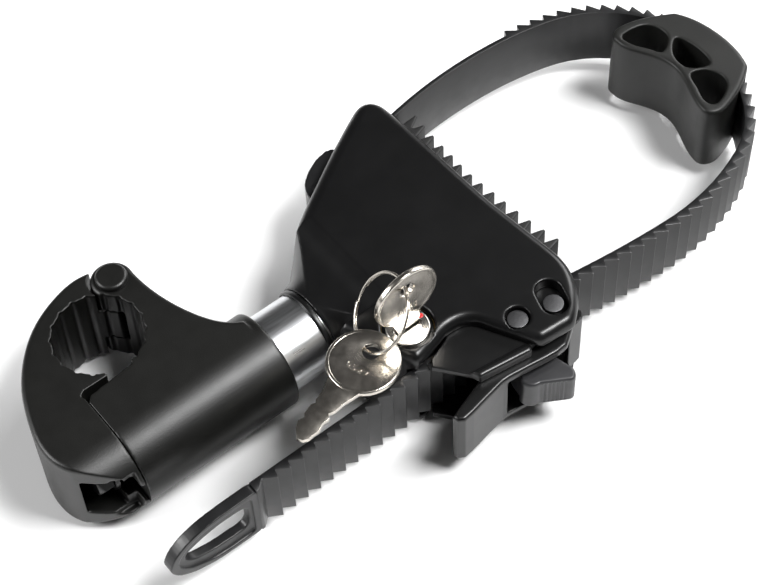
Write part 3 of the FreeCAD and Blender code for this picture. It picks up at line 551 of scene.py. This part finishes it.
def side_block(name, pts, y0, y1):
    k = len(pts)
    v = [(a * MM, y0 * MM, b * MM) for a, b in pts] + [(a * MM, y1 * MM, b * MM) for a, b in pts]
    f = [tuple(range(k)), tuple(range(k, 2 * k))[::-1]] + [(i, (i + 1) % k, (i + 1) % k + k, i + k) for i in range(k)]
    o = mesh_obj(name, v, f, False)
    fix_normals(o)
    return o


tip = side_block("strap_tip", relax(resample(outl, 1.5), 2), -76.0, -71.95)
bool_op(tip, side_block("c", relax(resample(slot_l, 1.2), 3), -80, -68))
# the outer face is dished round the slot
dish = side_block("c", relax(resample([(4.4, 10.4), (-7.0, 10.4), (-14.0, 9.6), (-20.0, 7.0), (-24.2, 2.2), (-24.0, -1.2), (-20.4, -5.6), (-12.0, -9.6),
                                       (-6.0, -10.4), (4.4, -10.4)], 1.4), 2), -80, -75.2)
bool_op(tip, dish)
softened(tip, 0.3, 2, 0.3)
put(tip, "head", "strap_black")

# end head on the left side of the housing
bump_pts = relax(resample([(86.8, 1.6), (87.2, 4.8), (89.3, 8.9), (93.5, 12.2), (98.6, 14.6), (103.5, 15.5), (106.4, 14.4), (107.0, 13.4), (104.0, 10.4), (94.0, 4.4), (88.4, 0.9)], 1.2), 2)
knob = from_pts("strap_head", bump_pts, -12.4, 12.4)
softened(knob, 0.4, 4, 0.4)
put(knob, "head", "strap_black")

# ------------------------------------------------------------------ key ring
lx, ly = 77.4, -62.0
RING_R, CHORD = 12.9, 9.0
H1 = Vector((77.0, -62.0, 40.8))
turn = math.radians(66.95)
deep = RING_R + math.sqrt(RING_R ** 2 - CHORD ** 2)
fall = (H1.z - 23.6) / deep
e_dir = Vector((math.cos(turn), math.sin(turn), 0))
p_dir = Vector((-math.sin(turn), math.cos(turn), 0))
d_dir = p_dir * math.sqrt(1 - fall ** 2) + Vector((0, 0, -fall))
rc = H1 + d_dir * RING_R
nrm = d_dir.cross(e_dir).normalized()


def sweep(name, pts, frames, prof, closed=False, caps=True):
    """pts: path points (mm), frames: (u, v) per point, prof: 2-D outline (mm)."""
    verts, faces = [], []
    k = len(prof)
    for p, (u, v) in zip(pts, frames):
        for a, b in prof:
            verts.append((p + u * a + v * b) * MM)
    n = len(pts)
    for i in range(n if closed else n - 1):
        j = (i + 1) % n
        for q in range(k):
            r = (q + 1) % k
            faces.append((i * k + q, i * k + r, j * k + r, j * k + q))
    if not closed and caps:
        faces.append(tuple(range(k))[::-1])
        faces.append(tuple((n - 1) * k + q for q in range(k)))
    o = mesh_obj(name, verts, faces)
    bm = bmesh.new(); bm.from_mesh(o.data)
    bmesh.ops.recalc_face_normals(bm, faces=bm.faces)
    bm.to_mesh(o.data); bm.free()
    return o


pts, frs = [], []
STEPS = 260
for i in range(STEPS + 1):
    t = i / STEPS
    a = 2 * math.pi * 1.93 * t + 2.2
    # two turns side by side; the wire steps over in a short stretch
    s = min(max((t - 0.46) / 0.08, 0.0), 1.0)
    s = s * s * (3 - 2 * s)
    off = -0.29 + 0.58 * s
    rad = -d_dir * math.cos(a) + e_dir * math.sin(a)
    pts.append(rc + rad * RING_R + nrm * off)
    frs.append((rad, nrm))
ring = sweep("split_ring", pts, frs, [(0.52 * math.cos(q * math.pi / 6), 0.275 * math.sin(q * math.pi / 6)) for q in range(12)])
put(ring, "ring", "key_nickel", "key_ring")

# ---------------------------------------------------------------------- keys
def key_piece(name, node, body, mat44, label, flip):
    o = welded(node, name)
    m = o.modifiers.new("e", "BEVEL")
    m.width = 0.16 * MM
    m.segments = 2
    m.limit_method = "ANGLE"
    m.angle_limit = math.radians(40)
    m.use_clamp_overlap = True
    baked(o)
    o.data.shade_smooth()
    o.data.set_sharp_from_angle(angle=math.radians(25))
    put(o, BODY[node], SLOT[node], node, mat="key_nickel")
    # fine raised edge round the bow, both sides
    for sgn, tag in ((1, "a"), (-1, "b")):
        n = 120
        prof = [(-0.75, -0.12), (-0.5, 0.02), (-0.2, 0.07), (0.15, 0.05), (0.4, -0.05), (0.5, -0.2), (-0.75, -0.3)]
        P, F = [], []
        for i in range(n):
            a = 2 * math.pi * i / n
            r = Vector((math.cos(a), math.sin(a), 0))
            P.append(r * 11.35 + Vector((0, 0, sgn * 0.95)))
            F.append((r, Vector((0, 0, sgn))))
        rim = sweep(name + "_rim_" + tag, P, F, prof, closed=True)
        rim.data.transform(mat44)
        put(rim, body, "key_nickel", mat="key_nickel")
    cu = bpy.data.curves.new(name + "_number", "FONT")
    cu.body = label
    cu.size = 3.4 * MM
    cu.space_character = 1.25
    cu.extrude = 0.12 * MM
    cu.bevel_depth = 0.04 * MM
    cu.align_x = "CENTER"
    t = link(bpy.data.objects.new(name + "_number", cu))
    me = bpy.data.meshes.new_from_object(t.evaluated_get(bpy.context.evaluated_depsgraph_get()))
    bpy.data.objects.remove(t, do_unlink=True)
    num = link(bpy.data.objects.new(name + "_number", me))
    turned = Matrix.Translation((-4.6 * MM, 0, flip * 0.95 * MM)) @ Matrix.Rotation(math.radians(-90), 4, "Z")
    if flip < 0:
        turned = Matrix.Translation((-4.6 * MM, 0, flip * 0.95 * MM)) @ Matrix.Rotation(math.radians(180), 4, "X") @ Matrix.Rotation(math.radians(90), 4, "Z")
    me.transform(mat44 @ turned)
    put(num, body, "key_nickel", mat="key_nickel")
    return o


def place(ex, ey, ez, at):
    """Local x, y, z directions and origin (mm) as a matrix in metres; the local mesh is in metres."""
    m = Matrix((( ex.x, ey.x, ez.x, at.x * MM), (ex.y, ey.y, ez.y, at.y * MM), (ex.z, ey.z, ez.z, at.z * MM), (0, 0, 0, 1)))
    return m


m1 = place(Vector((0, 0, 1)), Vector((1, 0, 0)), Vector((0, 1, 0)), Vector((77.0, -62.0, 36.6)))
a2 = math.radians(16)
m2 = place(Vector((math.cos(a2), math.sin(a2), 0)), Vector((-math.sin(a2), math.cos(a2), 0)), Vector((0, 0, 1)), Vector((56.609, -65.980, 23.6)))
key_piece("key_one", "key_inserted", "key", m1, "0527", -1)
key_piece("key_two", "key_spare", "spare", m2, "0527", 1)

# red mark on the plug's face
if True:
    prof = [(0.0, 0.16), (0.5, 0.14), (0.85, 0.08), (1.0, -0.1)]
    v, f = [(83.1 * MM, -61.4 * MM, (19.3 + 0.16) * MM)], []
    for r, z in prof[1:]:
        for q in range(40):
            a = 2 * math.pi * q / 40
            v.append(((83.1 + r * math.cos(a)) * MM, (-61.4 + r * math.sin(a)) * MM, (19.3 + z) * MM))
    for q in range(40):
        f.append((0, 1 + q, 1 + (q + 1) % 40))
        for k in range(2):
            f.append((1 + k * 40 + q, 1 + (k + 1) * 40 + q, 1 + (k + 1) * 40 + (q + 1) % 40, 1 + k * 40 + (q + 1) % 40))
    mark = mesh_obj("red_mark", v, f)
    fix_normals(mark)
    put(mark, "plug", "key_nickel", mat="red_paint")

# --------------------------------------------------------------- stage, light
lo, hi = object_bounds()
bpy.ops.mesh.primitive_plane_add(size=6.0, location=(0.1, 0, lo.z - 0.0002))
floor = bpy.context.object
floor.name = "floor"
fm, fnt, fp = new_mat("floor_pale")
fp.inputs["Base Color"].default_value = (0.93, 0.93, 0.93, 1)
fp.inputs["Roughness"].default_value = 0.9
floor.data.materials.append(fm)

world = bpy.data.worlds.new("soft")
bpy.context.scene.world = world
world.use_nodes = True
world.node_tree.nodes["Background"].inputs["Color"].default_value = (1, 1, 1, 1)
world.node_tree.nodes["Background"].inputs["Strength"].default_value = 0.045


def area(name, loc, target, size, power):
    l = bpy.data.lights.new(name, "AREA")
    l.energy = power
    l.size = size
    l.shape = "SQUARE"
    o = link(bpy.data.objects.new(name, l))
    o.location = loc
    d = (Vector(target) - Vector(loc)).normalized()
    o.rotation_euler = d.to_track_quat("-Z", "Y").to_euler()
    return o


area("key_light", (0.50, -0.50, 1.15), (0.02, -0.04, 0), 0.42, 22)
area("top_left", (-0.95, 0.55, 0.75), (0.1, -0.04, 0), 0.6, 14)
area("back_right", (1.15, 0.15, 0.55), (0.1, -0.04, 0), 0.6, 9)

cam = bpy.data.cameras.new("cam")
cam.sensor_width = 36.0
cam.sensor_fit = "HORIZONTAL"
cam.lens = 2088.76 / 780 * 36
cam.clip_start = 0.01
cam.clip_end = 10
co = link(bpy.data.objects.new("camera", cam))
R = Vector((0.78157, -0.62316, -0.02867)); U = Vector((0.52823, 0.63668, 0.56179)); Fw = Vector((0.33183, 0.45422, -0.82678))
co.matrix_world = Matrix(((R.x, U.x, -Fw.x, -0.141598), (R.y, U.y, -Fw.y, -0.353173), (R.z, U.z, -Fw.z, 0.574249), (0, 0, 0, 1)))
bpy.context.scene.camera = co
try:
    bpy.context.scene.view_settings.view_transform = "Standard"
except Exception:
    pass
